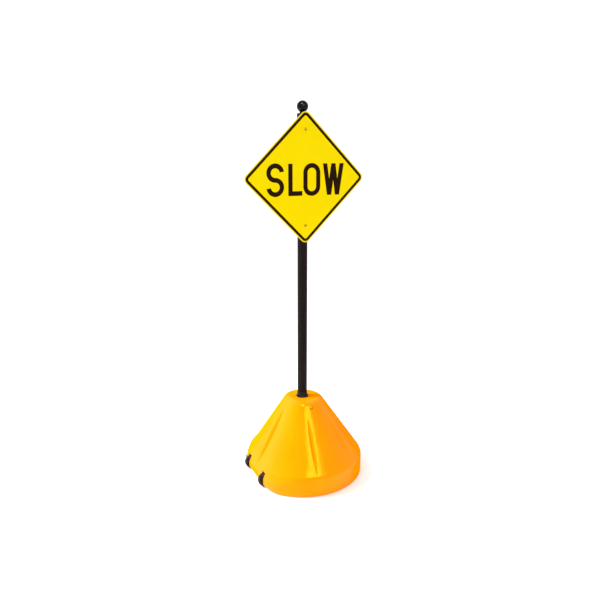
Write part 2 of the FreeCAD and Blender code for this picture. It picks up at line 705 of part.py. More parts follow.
def letter_s():
    """Two bowls joined at the middle: each half is the other one turned half round."""
    middle_x = S_LEFT + S_WIDTH / 2
    middle_z = LEGEND_FOOT + LETTER_HEIGHT / 2
    half_height = (LETTER_HEIGHT + 6 - LETTER_STROKE) / 2
    bowl = (S_WIDTH - LETTER_STROKE) / 2
    rise = half_height - bowl
    sweep = (bowl ** 2 + rise ** 2) / (2 * bowl)
    lean = math.degrees(math.atan2(-rise, bowl - sweep))
    pieces = []
    for side in (1, -1):
        turn = 0 if side == 1 else 180
        top = (middle_x, middle_z + side * rise)
        flank = (middle_x + side * (sweep - bowl), middle_z + side * rise)
        pieces.append(arc_band(top, bowl, turn + 8, turn + 180))
        pieces.append(arc_band(flank, sweep, turn + 180, turn + 360 + lean))
    return fused(pieces)


# ---- Sign clamps and their fasteners -------------------------------------------------------

def clamp_half(middle_z, side):
    """Half of a pipe clamp: a half ring with an ear each side; side is -1 in front, 1 behind."""
    low, high = middle_z - CLAMP_HEIGHT / 2, middle_z + CLAMP_HEIGHT / 2
    start = Vector(0, 0, low)
    ears_y = sorted((side * CLAMP_SPLIT, side * (CLAMP_SPLIT + EAR_THICKNESS)))
    half_y = sorted((side * CLAMP_SPLIT, side * 2 * POLE_RADIUS))
    half_space = block((-EAR_REACH, half_y[0], low), (EAR_REACH, half_y[1], high))
    half_ring = cylinder(CLAMP_BORE + CLAMP_METAL, start, Z_AXIS, CLAMP_HEIGHT).common(half_space)
    ears = block((-EAR_REACH, ears_y[0], low), (EAR_REACH, ears_y[1], high))
    return [half_ring, ears], cylinder(CLAMP_BORE, start, Z_AXIS, CLAMP_HEIGHT)


def ear_holes(middle_z):
    """The two holes through a clamp's ears."""
    return [cylinder(CLAMP_HOLE_RADIUS, Vector(x, -POLE_RADIUS, middle_z), Y_AXIS, 2 * POLE_RADIUS)
            for x in (-EAR_BOLT_X, EAR_BOLT_X)]


def sign_saddle(middle_z):
    """The front half of a clamp, with a block that carries the sign and a pocket for its nut."""
    solids, bore = clamp_half(middle_z, -1)
    low, high = middle_z - CLAMP_HEIGHT / 2, middle_z + CLAMP_HEIGHT / 2
    solids.append(block((-SADDLE_HALF_WIDTH, SIGN_BACK_Y, low), (SADDLE_HALF_WIDTH, -CLAMP_SPLIT, high)))
    hole = cylinder(CLAMP_HOLE_RADIUS, Vector(0, SIGN_BACK_Y, middle_z), Y_AXIS, NUT_POCKET_FLOOR)
    pocket = hexagon(CLAMP_HEAD_FLATS + 0.4, Vector(0, SIGN_BACK_Y + NUT_POCKET_FLOOR, middle_z), Y_AXIS, POLE_RADIUS)
    return fused(solids).cut([bore, hole, pocket] + ear_holes(middle_z))


def clamp_strap(middle_z):
    """The back half of a clamp."""
    solids, bore = clamp_half(middle_z, 1)
    return fused(solids).cut([bore] + ear_holes(middle_z))


def ear_bolt_places():
    """Where the four clamp bolts cross the ears."""
    return [Vector(x, 0, z) for z in clamp_heights() for x in (-EAR_BOLT_X, EAR_BOLT_X)]


EAR_FACE = CLAMP_SPLIT + EAR_THICKNESS
NUT_FACE = EAR_FACE + CLAMP_WASHER_THICKNESS


def clamp_bolts():
    """Four bolts from behind, with their heads on the straps' washers."""
    bolts = []
    for place in ear_bolt_places():
        under_head = place + Y_AXIS * NUT_FACE
        shank = cylinder(CLAMP_BOLT_RADIUS, under_head, -Y_AXIS, 2 * NUT_FACE + CLAMP_NUT_HEIGHT + 2)
        bolts.append(fused([shank, hexagon(CLAMP_HEAD_FLATS, under_head, Y_AXIS, CLAMP_HEAD_HEIGHT)]))
    return Part.makeCompound(bolts)


def clamp_washers():
    """Eight washers, one under each head and each nut."""
    washers = []
    for place in ear_bolt_places():
        for side in (-1, 1):
            start = place + Y_AXIS * (side * EAR_FACE)
            washers.append(ring(CLAMP_WASHER_RADIUS, CLAMP_BOLT_RADIUS + 0.2, start, Y_AXIS * side,
                                CLAMP_WASHER_THICKNESS))
    return Part.makeCompound(washers)


def nut(start, direction):
    """A hexagon nut whose thread is drawn as a plain hole of the bolt's size."""
    body = hexagon(CLAMP_HEAD_FLATS, start, direction, CLAMP_NUT_HEIGHT)
    return body.cut(cylinder(CLAMP_BOLT_RADIUS, start, direction, CLAMP_NUT_HEIGHT))


def clamp_nuts():
    return Part.makeCompound([nut(place - Y_AXIS * NUT_FACE, -Y_AXIS) for place in ear_bolt_places()])


def sign_bolts():
    """Two bolts through the sign into the nuts that the saddles hold."""
    bolts = []
    for z in clamp_heights():
        under_head = Vector(0, INK_Y - SIGN_WASHER_THICKNESS, z)
        shank = cylinder(CLAMP_BOLT_RADIUS, under_head, Y_AXIS, -POLE_RADIUS - 1 - under_head.y)
        bolts.append(fused([shank, hexagon(CLAMP_HEAD_FLATS, under_head, -Y_AXIS, CLAMP_HEAD_HEIGHT)]))
    return Part.makeCompound(bolts)


def sign_washers():
    return Part.makeCompound([ring(SIGN_WASHER_RADIUS, CLAMP_BOLT_RADIUS + 0.2, Vector(0, INK_Y, z), -Y_AXIS,
                                   SIGN_WASHER_THICKNESS) for z in clamp_heights()])


def sign_nuts():
    floor_y = SIGN_BACK_Y + NUT_POCKET_FLOOR
    return Part.makeCompound([nut(Vector(0, floor_y, z), Y_AXIS) for z in clamp_heights()])


# ---- Everything, one STEP file each --------------------------------------------------------

UPPER, LOWER = clamp_heights()
LEFT, RIGHT = -1, 1

NODES = {
    "base_shell": base_shell(),
    "fill_cap_gasket": fill_cap_gasket(),
    "fill_cap": fill_cap(),
    "socket_collar": socket_collar(),
    "lock_insert": lock_insert(),
    "lock_bolt_washer": lock_bolt_washer(),
    "lock_bolt": lock_bolt(),
    "axle": axle(),
    "axle_washers": axle_washers(),
    "axle_end_plug": axle_end_plug(),
    "wheel_left_tyre": wheel_tyre(LEFT),
    "wheel_left_hub": wheel_hub(LEFT),
    "wheel_right_tyre": wheel_tyre(RIGHT),
    "wheel_right_hub": wheel_hub(RIGHT),
    "pole": pole(),
    "pole_foot_plug": pole_foot_plug(),
    "ball_cap": ball_cap(),
    "cap_set_screw": cap_set_screw(),
    "sign_panel": sign_panel(),
    "sign_sheeting": sign_sheeting(),
    "sign_border": sign_border(),
    "legend_s": letter_s(),
    "legend_l": letter_l(),
    "legend_o": letter_o(),
    "legend_w": letter_w(),
    "upper_saddle": sign_saddle(UPPER),
    "upper_strap": clamp_strap(UPPER),
    "lower_saddle": sign_saddle(LOWER),
    "lower_strap": clamp_strap(LOWER),
    "clamp_bolts": clamp_bolts(),
    "clamp_washers": clamp_washers(),
    "clamp_nuts": clamp_nuts(),
    "sign_bolts": sign_bolts(),
    "sign_washers": sign_washers(),
    "sign_nuts": sign_nuts(),
}

os.makedirs("parts", exist_ok=True)
for name, shape in NODES.items():
    shape.exportStep(f"parts/{name}.step")
    print(name, "valid" if shape.isValid() else "INVALID", len(shape.Solids), "solid(s)", round(shape.Volume), "mm3")
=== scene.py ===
import math

import bmesh
import bpy
from mathutils import Matrix, Vector


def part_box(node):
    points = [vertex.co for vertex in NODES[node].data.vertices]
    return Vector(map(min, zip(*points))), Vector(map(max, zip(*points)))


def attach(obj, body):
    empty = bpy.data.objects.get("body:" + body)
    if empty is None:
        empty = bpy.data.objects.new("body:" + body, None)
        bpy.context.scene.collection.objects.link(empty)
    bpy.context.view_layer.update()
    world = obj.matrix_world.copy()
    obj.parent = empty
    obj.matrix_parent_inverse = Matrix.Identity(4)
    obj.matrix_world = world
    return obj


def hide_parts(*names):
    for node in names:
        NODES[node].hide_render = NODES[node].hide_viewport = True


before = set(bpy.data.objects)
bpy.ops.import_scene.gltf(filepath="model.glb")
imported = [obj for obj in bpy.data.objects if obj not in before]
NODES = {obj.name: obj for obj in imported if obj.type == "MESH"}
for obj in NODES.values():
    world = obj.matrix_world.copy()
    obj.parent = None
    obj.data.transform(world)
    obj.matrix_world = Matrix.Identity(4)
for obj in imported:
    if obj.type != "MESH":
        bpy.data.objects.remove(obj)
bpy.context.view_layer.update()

# Looks of a portable diamond sign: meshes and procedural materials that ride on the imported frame.
# Metres, +Z up, the sign faces -Y and the base's flat side is on -X.

# ---- Sizes ---------------------------------------------------------------------------------

INCH = 0.0254

BASE_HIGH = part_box("base_shell")[1]
POLE_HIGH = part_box("pole")[1]
COLLAR_LOW, COLLAR_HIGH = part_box("socket_collar")
BALL_LOW, BALL_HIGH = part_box("ball_cap")
BOLT_LOW, BOLT_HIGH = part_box("lock_bolt")
WASHER_LOW, WASHER_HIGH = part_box("lock_bolt_washer")
TYRE_LOW, TYRE_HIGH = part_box("wheel_left_tyre")
PLUG_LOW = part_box("axle_end_plug")[0]

BASE_RADIUS = BASE_HIGH.x
BASE_HEIGHT = 0.557
SKIRT_HEIGHT = 0.136
CONE_TOP_RADIUS = 0.132
FLAT_REACH = 0.368
FLAT_WALL_HEIGHT = 0.066
FLAT_TOP_REACH = 0.102
SKIRT_CORNER_END = 48.0
CONE_CORNER_END = 82.0
CORNER_SPREAD_HEIGHT = 0.125
BOTTOM_ROUND = 0.016
CREASE_ROUND = 0.040
SHOULDER_ROUND = 0.048
TOP_PLATE_RADIUS = 0.060
TOE_HEIGHT = 0.020
TOE_RUN = 0.060
ROUND_SLOPE = (BASE_RADIUS - CONE_TOP_RADIUS) / (BASE_HEIGHT - SKIRT_HEIGHT)
FLAT_SLOPE = (FLAT_REACH - FLAT_TOP_REACH) / (BASE_HEIGHT - FLAT_WALL_HEIGHT)

# Flutes, each on both sides: place on the 22.5 degree grid from -X, foot, head, depth and half width.
FLUTE_GRID = 22.5
FLUTES = (
    (0.0, 0.100, 0.480, 0.0260, 0.034),
    (2.5, 0.215, 0.415, 0.0030, 0.024),
    (3.5, 0.145, 0.470, 0.0110, 0.030),
    (5.5, 0.160, 0.455, 0.0095, 0.030),
    (6.5, 0.150, 0.470, 0.0095, 0.030),
)
# Half width of a flute's steep side, and the degrees it leans over between its middle and its ends.
FLUTE_STEEP_SIDE = 0.013
FLUTE_LEAN = 1.7

# Rows and rings of the base's mesh.
WALL_ROWS = 128
BOTTOM_ROWS = 8
SHOULDER_ROWS = 12
UNDERSIDE_SHARES = (0.25, 0.5, 0.75, 0.9)

POLE_RADIUS = POLE_HIGH.x
SOCKET_RADIUS = POLE_RADIUS + 0.0006
SOCKET_FLOOR = 0.030
DISH_RADIUS = COLLAR_HIGH.x + 0.009
DISH_DEPTH = 0.0012
COLLAR_SEAT_RADIUS = 0.037
COLLAR_SEAT_DEPTH = 0.020
COLLAR_FOOT_RADIUS = COLLAR_HIGH.x
COLLAR_CLEARANCE = 0.0001

AXLE_X = (TYRE_LOW.x + TYRE_HIGH.x) / 2
AXLE_Z = (TYRE_LOW.z + TYRE_HIGH.z) / 2
TYRE_RADIUS = (TYRE_HIGH.z - TYRE_LOW.z) / 2
TYRE_WIDTH = TYRE_HIGH.y - TYRE_LOW.y
WHEEL_Y = abs(TYRE_LOW.y + TYRE_HIGH.y) / 2
AXLE_RADIUS = 0.25 * INCH
AXLE_CLEARANCE = 0.0001
HUB_RADIUS = 0.031
WELL_RADIUS = TYRE_RADIUS + 0.006
WELL_WIDTH = TYRE_WIDTH + 0.009

LOCK_Z = (BOLT_LOW.z + BOLT_HIGH.z) / 2
LOCK_RADIUS = 0.1875 * INCH
LOCK_CLEARANCE = 0.0012
LOCK_SEAT_Y = WASHER_HIGH.y
LOCK_DIMPLE_RADIUS = 0.012
LOCK_INSERT_RADIUS = 0.008
LOCK_INSERT_LENGTH = 0.020
LOCK_THREAD_PITCH = INCH / 16

FILL_ANGLE = -101.25
FILL_Z = 0.306
NECK_RADIUS = 0.036
NECK_RISE = 0.010
NECK_BORE_RADIUS = 0.026
GASKET_THICKNESS = 0.002
CAP_RADIUS = 0.039
CAP_FLANGE = 0.006
CAP_RECESS = 0.0008
CAP_PLUG_DEPTH = 0.014
CAP_RIBS = 40
CAP_RIB_DEPTH = 0.0009
GRIP_WIDTH = 0.006
GRIP_HEIGHT = 0.011

SKIRT_RADIUS = 0.0362
WAIST_RADIUS = 0.0185

CAMERA_PLACE = Vector((-1.663, -3.752, 2.280))
CAMERA_TILT = 76.0
CAMERA_HEADING = -23.68
CAMERA_LENS = 37.08
CAMERA_SENSOR = 36.0

Z_AXIS = Vector((0, 0, 1))
Y_AXIS = Vector((0, 1, 0))
SHARP_ANGLE = math.radians(35)
BEVEL_SAMPLES = 4


# ---- Mesh tools ----------------------------------------------------------------------------

def loft(rings, closed=False):
    """Vertices and faces through rings of equally many points; ends are capped unless closed."""
    count = len(rings[0])
    points = [point for ring in rings for point in ring]
    faces = []
    spans = len(rings) if closed else len(rings) - 1
    for row in range(spans):
        low = row * count
        high = (row + 1) % len(rings) * count
        for column in range(count):
            following = (column + 1) % count
            faces.append((low + column, low + following, high + following, high + column))
    if not closed:
        faces.append(tuple(reversed(range(count))))
        faces.append(tuple(range((len(rings) - 1) * count, len(rings) * count)))
    return points, faces


def round_point(radius, angle, height):
    """A point at a radius and an angle round +Z."""
    return Vector((radius * math.cos(angle), radius * math.sin(angle), height))


def turned_rings(profile, segments, place, axis):
    """Rings of a lathe form from (radius, height) points, standing at place along axis."""
    turn = Z_AXIS.rotation_difference(axis).to_matrix()
    angles = [2 * math.pi * step / segments for step in range(segments)]
    return [[place + turn @ round_point(radius, angle, height) for angle in angles]
            for radius, height in profile]


def softened(corners, steps=5):
    """An outline with its corners rounded; each corner is (radius, height, rounding)."""
    outline = []
    count = len(corners)
    for index, (radius, height, rounding) in enumerate(corners):
        here = Vector((radius, height))
        back = Vector(corners[index - 1][:2]) - here
        ahead = Vector(corners[(index + 1) % count][:2]) - here
        if rounding <= 0:
            outline.append((radius, height))
            continue
        half = back.angle(ahead) / 2
        reach = rounding / math.tan(half)
        middle = here + (back.normalized() + ahead.normalized()).normalized() * (rounding / math.sin(half))
        start = here + back.normalized() * reach - middle
        end = here + ahead.normalized() * reach - middle
        sweep = start.angle_signed(end)
        for step in range(steps + 1):
            spun = Matrix.Rotation(-sweep * step / steps, 2) @ start + middle
            outline.append((spun.x, spun.y))
    return outline


def new_piece(name, points, faces, material):
    """A smooth-shaded mesh object of one material, its faces all turned outwards."""
    mesh = bpy.data.meshes.new(name)
    mesh.from_pydata([tuple(point) for point in points], [], faces)
    form = bmesh.new()
    form.from_mesh(mesh)
    bmesh.ops.recalc_face_normals(form, faces=form.faces)
    form.to_mesh(mesh)
    form.free()
    mesh.materials.append(material)
    piece = bpy.data.objects.new(name, mesh)
    bpy.context.scene.collection.objects.link(piece)
    smooth(piece)
    return piece


def smooth(piece):
    """Smooth shading that breaks at sharp edges."""
    piece.data.shade_smooth()
    piece.data.set_sharp_from_angle(angle=SHARP_ANGLE)


def turned_piece(name, profile, segments, place, axis, material):
    """A closed lathe piece: the outline runs round, so its last point joins its first."""
    points, faces = loft(turned_rings(profile, segments, place, axis), closed=True)
    return new_piece(name, points, faces, material)


def joined(name, pieces):
    """Several pieces as one object."""
    bpy.ops.object.select_all(action="DESELECT")
    for piece in pieces:
        piece.select_set(True)
    bpy.context.view_layer.objects.active = pieces[0]
    bpy.ops.object.join()
    pieces[0].name = name
    return pieces[0]


def cut(piece, tools, operation="DIFFERENCE"):
    """Cuts or adds tool meshes, then takes the tools away."""
    for tool in tools:
        modifier = piece.modifiers.new("shape", "BOOLEAN")
        modifier.operation = operation
        modifier.solver = "EXACT"
        modifier.object = tool
    evaluated = piece.evaluated_get(bpy.context.evaluated_depsgraph_get())
    mesh = bpy.data.meshes.new_from_object(evaluated)
    piece.modifiers.clear()
    piece.data = mesh
    for tool in tools:
        bpy.data.objects.remove(tool)
    smooth(piece)


def settle(piece, body, slot, *nodes):
    """Puts a piece on its body in place of CAD nodes."""
    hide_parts(*nodes)
    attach(piece, body)
    return piece


# ---- Material tools ------------------------------------------------------------------------

class Shade:
    """A material with one Principled shader and short ways to wire procedural detail to it."""

    def __init__(self, name, metallic=0.0, specular=0.5, sheen_tint=None):
        self.material = bpy.data.materials.new(name)
        self.material.use_nodes = True
        self.nodes = self.material.node_tree.nodes
        self.links = self.material.node_tree.links
        self.shader = self.nodes["Principled BSDF"]
        self.shader.inputs["Metallic"].default_value = metallic
        self.shader.inputs["Specular IOR Level"].default_value = specular
        if sheen_tint:
            self.shader.inputs["Specular Tint"].default_value = sheen_tint
        self.place = self.nodes.new("ShaderNodeTexCoord").outputs["Object"]

    def plug(self, source, socket):
        """Wires a node's output to a socket, or sets the socket to a plain value."""
        if hasattr(source, "links"):
            self.links.new(source, socket)
        else:
            socket.default_value = source

    def stretched(self, scale):
        """Object coordinates stretched by a scale on each axis."""
        mapping = self.nodes.new("ShaderNodeMapping")
        mapping.inputs["Scale"].default_value = scale
        self.links.new(self.place, mapping.inputs["Vector"])
        return mapping.outputs["Vector"]

    def noise(self, scale, detail=2.0, roughness=0.5, place=None):
        """Cloudy noise from 0 to 1; scale is in cycles a metre."""
        node = self.nodes.new("ShaderNodeTexNoise")
        node.inputs["Scale"].default_value = scale
        node.inputs["Detail"].default_value = detail
        node.inputs["Roughness"].default_value = roughness
        self.links.new(place or self.place, node.inputs["Vector"])
        return node.outputs["Fac"]

    def cells(self, scale):
        """Distance to the edge of the nearest cell; scale is in cells a metre."""
        node = self.nodes.new("ShaderNodeTexVoronoi")
        node.feature = "DISTANCE_TO_EDGE"
        node.inputs["Scale"].default_value = scale
        self.links.new(self.place, node.inputs["Vector"])
        return node.outputs["Distance"]

    def span(self, source, low, high, out_low=0.0, out_high=1.0):
        """Maps a value from one range to another and clamps it."""
        node = self.nodes.new("ShaderNodeMapRange")
        limits = {"From Min": low, "From Max": high, "To Min": out_low, "To Max": out_high}
        for name, value in limits.items():
            node.inputs[name].default_value = value
        self.links.new(source, node.inputs["Value"])
        return node.outputs["Result"]

    def maths(self, operation, first, second):
        """One sum of two values or outputs."""
        node = self.nodes.new("ShaderNodeMath")
        node.operation = operation
        self.plug(first, node.inputs[0])
        self.plug(second, node.inputs[1])
        return node.outputs["Value"]

    def height(self):
        """How high the point is, in metres."""
        node = self.nodes.new("ShaderNodeSeparateXYZ")
        self.links.new(self.place, node.inputs["Vector"])
        return node.outputs["Z"]

    def blend(self, amount, first, second):
        """A colour between two colours."""
        node = self.nodes.new("ShaderNodeMix")
        node.data_type = "RGBA"
        self.plug(amount, node.inputs["Factor"])
        for source, socket in ((first, node.inputs["A"]), (second, node.inputs["B"])):
            self.plug(source, socket)
        return node.outputs["Result"]

    def edges(self, radius):
        """1 on convex and concave edges within a radius, 0 on the open surface."""
        bevel = self.nodes.new("ShaderNodeBevel")
        bevel.samples = BEVEL_SAMPLES
        bevel.inputs["Radius"].default_value = radius
        geometry = self.nodes.new("ShaderNodeNewGeometry")
        dot = self.nodes.new("ShaderNodeVectorMath")
        dot.operation = "DOT_PRODUCT"
        self.links.new(bevel.outputs["Normal"], dot.inputs[0])
        self.links.new(geometry.outputs["Normal"], dot.inputs[1])
        return self.span(dot.outputs["Value"], 0.98, 0.80)

    def bump(self, layers, round_radius=0.0):
        """Bump from (height, distance) layers, over edges rounded by round_radius."""
        normal = None
        if round_radius:
            bevel = self.nodes.new("ShaderNodeBevel")
            bevel.samples = BEVEL_SAMPLES
            bevel.inputs["Radius"].default_value = round_radius
            normal = bevel.outputs["Normal"]
        for height, distance in layers:
            node = self.nodes.new("ShaderNodeBump")
            node.inputs["Distance"].default_value = distance
            self.links.new(height, node.inputs["Height"])
            if normal:
                self.links.new(normal, node.inputs["Normal"])
            normal = node.outputs["Normal"]
        self.links.new(normal, self.shader.inputs["Normal"])

    def face_on_gloss(self, strength):
        """Gloss that fades where the surface turns away, as on waxy plastic in an all-white room."""
        facing = self.nodes.new("ShaderNodeLayerWeight").outputs["Facing"]
        gloss = self.span(facing, 0.05, 0.62, strength, 0.0)
        gloss.node.interpolation_type = "SMOOTHSTEP"
        self.links.new(gloss, self.shader.inputs["Specular IOR Level"])

    def finish(self, colour, roughness):
        """Sets the shader's colour and roughness and hands back the material."""
        self.plug(colour, self.shader.inputs["Base Color"])
        self.plug(roughness, self.shader.inputs["Roughness"])
        return self.material


# ---- Materials -----------------------------------------------------------------------------

def moulded_yellow():
    """Moulded polyethylene: glossy, faintly wavy, paler where the skin is rubbed, dusty at the foot."""
    shade = Shade("moulded_yellow", sheen_tint=(1.0, 0.60, 0.02, 1))
    shade.face_on_gloss(0.75)
    clouds = shade.noise(5, 3)
    grain = shade.noise(900, 2)
    colour = shade.blend(shade.span(clouds, 0.35, 0.65), (1.0, 0.280, 0.0, 1), (1.0, 0.300, 0.0, 1))
    colour = shade.blend(shade.span(grain, 0.58, 0.78, 0, 0.12), colour, (0.85, 0.22, 0.0, 1))
    rubs = shade.span(shade.noise(60, 4, 0.6), 0.45, 0.7, 0, 0.5)
    rubbed = shade.maths("MULTIPLY", shade.edges(0.006), rubs)
    colour = shade.blend(rubbed, colour, (1.0, 0.50, 0.03, 1))
    foot = shade.span(shade.height(), 0.030, 0.0, 0, 0.35)
    dust = shade.maths("MULTIPLY", foot, shade.span(shade.noise(45, 5, 0.65), 0.40, 0.70))
    colour = shade.blend(dust, colour, (0.42, 0.28, 0.12, 1))
    shade.bump([(shade.noise(38, 1), 0.0006), (shade.noise(420, 2), 0.00010), (grain, 0.00003)], 0.0025)
    return shade.finish(colour, shade.span(shade.noise(14, 4, 0.6), 0.3, 0.7, 0.14, 0.20))


def film_yellow():
    """Reflective sheeting: a fine cell pattern under a clear smooth top film."""
    shade = Shade("film_yellow", specular=0.12, sheen_tint=(1.0, 0.80, 0.05, 1))
    cell = shade.span(shade.cells(420), 0.0, 0.10, 0.35, 0.0)
    patches = shade.span(shade.noise(7, 3), 0.35, 0.65)
    colour = shade.blend(patches, (0.86, 0.640, 0.0, 1), (0.86, 0.670, 0.001, 1))
    colour = shade.blend(cell, colour, (0.78, 0.56, 0.0, 1))
    shade.bump([(shade.noise(30, 2), 0.0002), (shade.cells(420), 0.00002)])
    return shade.finish(colour, shade.span(shade.noise(90, 3), 0.3, 0.7, 0.38, 0.48))


def ink_black():
    """Screen-printed ink: warm black with a little mottle and pinholes."""
    shade = Shade("ink_black", specular=0.02)
    mottle = shade.span(shade.noise(160, 3), 0.35, 0.65)
    colour = shade.blend(mottle, (0.014, 0.0050, 0.0010, 1), (0.023, 0.0080, 0.0020, 1))
    shade.bump([(shade.noise(700, 2), 0.00002)])
    return shade.finish(colour, shade.span(shade.noise(45, 3), 0.3, 0.7, 0.42, 0.55))


def powder_black():
    """Powder coat on the pole: fine orange peel, long faint rub marks where it slides in the socket."""
    shade = Shade("powder_black", specular=0.05)
    streaks = shade.noise(9, 4, 0.6, shade.stretched((9, 9, 0.6)))
    streaked = shade.span(streaks, 0.4, 0.75)
    colour = shade.blend(streaked, (0.0085, 0.0048, 0.0048, 1), (0.0150, 0.0090, 0.0088, 1))
    worn = shade.maths("MULTIPLY", shade.edges(0.002), shade.span(shade.noise(300, 3), 0.45, 0.65))
    colour = shade.blend(worn, colour, (0.10, 0.095, 0.09, 1))
    shade.bump([(shade.noise(520, 2), 0.00008), (shade.noise(60, 2), 0.0001)], 0.0006)
    return shade.finish(colour, shade.span(streaks, 0.3, 0.7, 0.30, 0.44))


def polished_black():
    """The ball cap: polished, with fine turning lines and a few hairline scratches."""
    shade = Shade("polished_black", specular=0.13)
    lines = shade.noise(40, 2, 0.5, shade.stretched((0.3, 0.3, 30)))
    scratches = shade.span(shade.noise(25, 3, 0.6, shade.stretched((1, 14, 2))), 0.60, 0.68)
    colour = shade.blend(scratches, (0.0010, 0.0010, 0.0012, 1), (0.006, 0.006, 0.0065, 1))
    shade.bump([(lines, 0.00002), (shade.noise(80, 2), 0.00005)], 0.0008)
    return shade.finish(colour, shade.span(lines, 0.3, 0.7, 0.11, 0.17))


def black_rubber(name, grey, grain_scale, roughness, specular=0.15):
    """Rubber or soft plastic: fine grain, greyer on its edges and where dust has settled."""
    shade = Shade(name, specular=specular)
    grain = shade.noise(grain_scale, 3)
    dust = shade.maths("MULTIPLY", shade.span(shade.noise(70, 4, 0.65), 0.45, 0.75), 0.5)
    dark = (grey, grey, grey * 1.05, 1)
    pale = (grey * 2.6, grey * 2.5, grey * 2.4, 1)
    colour = shade.blend(dust, dark, pale)
    colour = shade.blend(shade.maths("MULTIPLY", shade.edges(0.0015), 0.35), colour, pale)
    shade.bump([(grain, 0.00008)], 0.0008)
    return shade.finish(colour, shade.span(grain, 0.3, 0.7, roughness, roughness + 0.14))


def plated_steel(name, colour, tint, roughness):
    """Plated steel: cloudy passivation, wiped smears, bright edges."""
    shade = Shade(name, metallic=1.0)
    clouds = shade.span(shade.noise(110, 4, 0.6), 0.35, 0.65)
    mixed = shade.blend(clouds, colour, tint)
    edge = shade.maths("MULTIPLY", shade.edges(0.0006), 0.6)
    mixed = shade.blend(edge, mixed, tuple(min(1.0, channel * 1.4) for channel in colour[:3]) + (1,))
    shade.bump([(shade.noise(1400, 2), 0.00002), (shade.noise(250, 3), 0.00002)], 0.0004)
    return shade.finish(mixed, shade.span(clouds, 0.0, 1.0, roughness, roughness + 0.16))


def brushed_aluminium():
    """Sheet aluminium: grain along one way, soft smears and faint oxide blooms."""
    shade = Shade("brushed_aluminium", metallic=1.0)
    grain = shade.noise(30, 3, 0.6, shade.stretched((1.2, 1.2, 90)))
    blooms = shade.span(shade.noise(12, 5, 0.65), 0.40, 0.70)
    colour = shade.blend(blooms, (0.63, 0.635, 0.64, 1), (0.52, 0.525, 0.53, 1))
    shade.bump([(grain, 0.00003)], 0.0004)
    return shade.finish(colour, shade.span(grain, 0.3, 0.7, 0.32, 0.50))


def cast_aluminium():
    """Cast clamp halves: fine sand texture, darker in the hollows."""
    shade = Shade("cast_aluminium", metallic=1.0)
    sand = shade.noise(900, 3, 0.6)
    colour = shade.blend(shade.span(sand, 0.35, 0.65), (0.40, 0.405, 0.41, 1), (0.58, 0.585, 0.59, 1))
    colour = shade.blend(shade.maths("MULTIPLY", shade.edges(0.0012), 0.5), colour, (0.78, 0.78, 0.78, 1))
    shade.bump([(sand, 0.00012), (shade.noise(90, 2), 0.0003)], 0.001)
    return shade.finish(colour, shade.span(sand, 0.3, 0.7, 0.45, 0.62))


def moulded_nylon():
    """Yellow nylon washers behind the sign's bolt heads."""
    shade = Shade("moulded_nylon", specular=0.45)
    clouds = shade.span(shade.noise(200, 3), 0.35, 0.65)
    colour = shade.blend(clouds, (0.62, 0.42, 0.005, 1), (0.56, 0.38, 0.004, 1))
    shade.bump([(shade.noise(900, 2), 0.00003)], 0.0003)
    return shade.finish(colour, shade.span(clouds, 0.0, 1.0, 0.35, 0.48))


YELLOW = moulded_yellow()
FILM = film_yellow()
INK = ink_black()
POWDER = powder_black()
POLISHED = polished_black()
COLLAR_RUBBER = black_rubber("collar_rubber", 0.006, 500, 0.30)
TYRE_RUBBER = black_rubber("tyre_rubber", 0.004, 650, 0.30, 0.28)
BLACK_PLASTIC = black_rubber("black_plastic", 0.008, 800, 0.36)
ZINC = plated_steel("zinc_steel", (0.60, 0.58, 0.52, 1), (0.66, 0.60, 0.44, 1), 0.28)
SIGN_ZINC = plated_steel("sign_bolt_steel", (0.40, 0.28, 0.01, 1), (0.34, 0.24, 0.01, 1), 0.40)
DARK_STEEL = plated_steel("dark_steel", (0.86, 0.44, 0.03, 1), (0.62, 0.33, 0.03, 1), 0.42)
BRASS = plated_steel("insert_brass", (0.70, 0.50, 0.20, 1), (0.62, 0.44, 0.19, 1), 0.30)
SHEET_METAL = brushed_aluminium()
CAST_METAL = cast_aluminium()
NYLON = moulded_nylon()


# ---- Base ----------------------------------------------------------------------------------

def wall_reach(reach, crease, slope, height):
    """How far out a wall is at a height: upright, then a round, then leaning in."""
    turn = math.atan(slope)
    start = crease - CREASE_ROUND * math.tan(turn / 2)
    end = start + CREASE_ROUND * math.sin(turn)
    if height <= start:
        return reach
    if height < end:
        return reach - CREASE_ROUND + math.sqrt(CREASE_ROUND ** 2 - (height - start) ** 2)
    return reach - slope * (height - crease)


def base_reach(turn, height):
    """How far the base's wall is from the pole's axis, at an angle from -X and a height."""
    angle = math.radians(abs(turn))
    radius = wall_reach(BASE_RADIUS, SKIRT_HEIGHT, ROUND_SLOPE, height)
    flat = wall_reach(FLAT_REACH, FLAT_WALL_HEIGHT, FLAT_SLOPE, height)
    spread = min(1.0, max(0.0, (height - FLAT_WALL_HEIGHT) / CORNER_SPREAD_HEIGHT))
    spread = spread * spread * (3 - 2 * spread)
    end = math.radians(SKIRT_CORNER_END + (CONE_CORNER_END - SKIRT_CORNER_END) * spread)
    if angle >= end:
        return radius
    corner = (flat - radius * math.cos(end)) / (1 - math.cos(end))
    centre = Vector((math.cos(end), math.sin(end))) * (radius - corner)
    if flat * math.tan(angle) <= centre.y:
        return flat / math.cos(angle)
    ahead = centre.dot(Vector((math.cos(angle), math.sin(angle))))
    return ahead + math.sqrt(corner ** 2 - centre.length_squared + ahead ** 2)


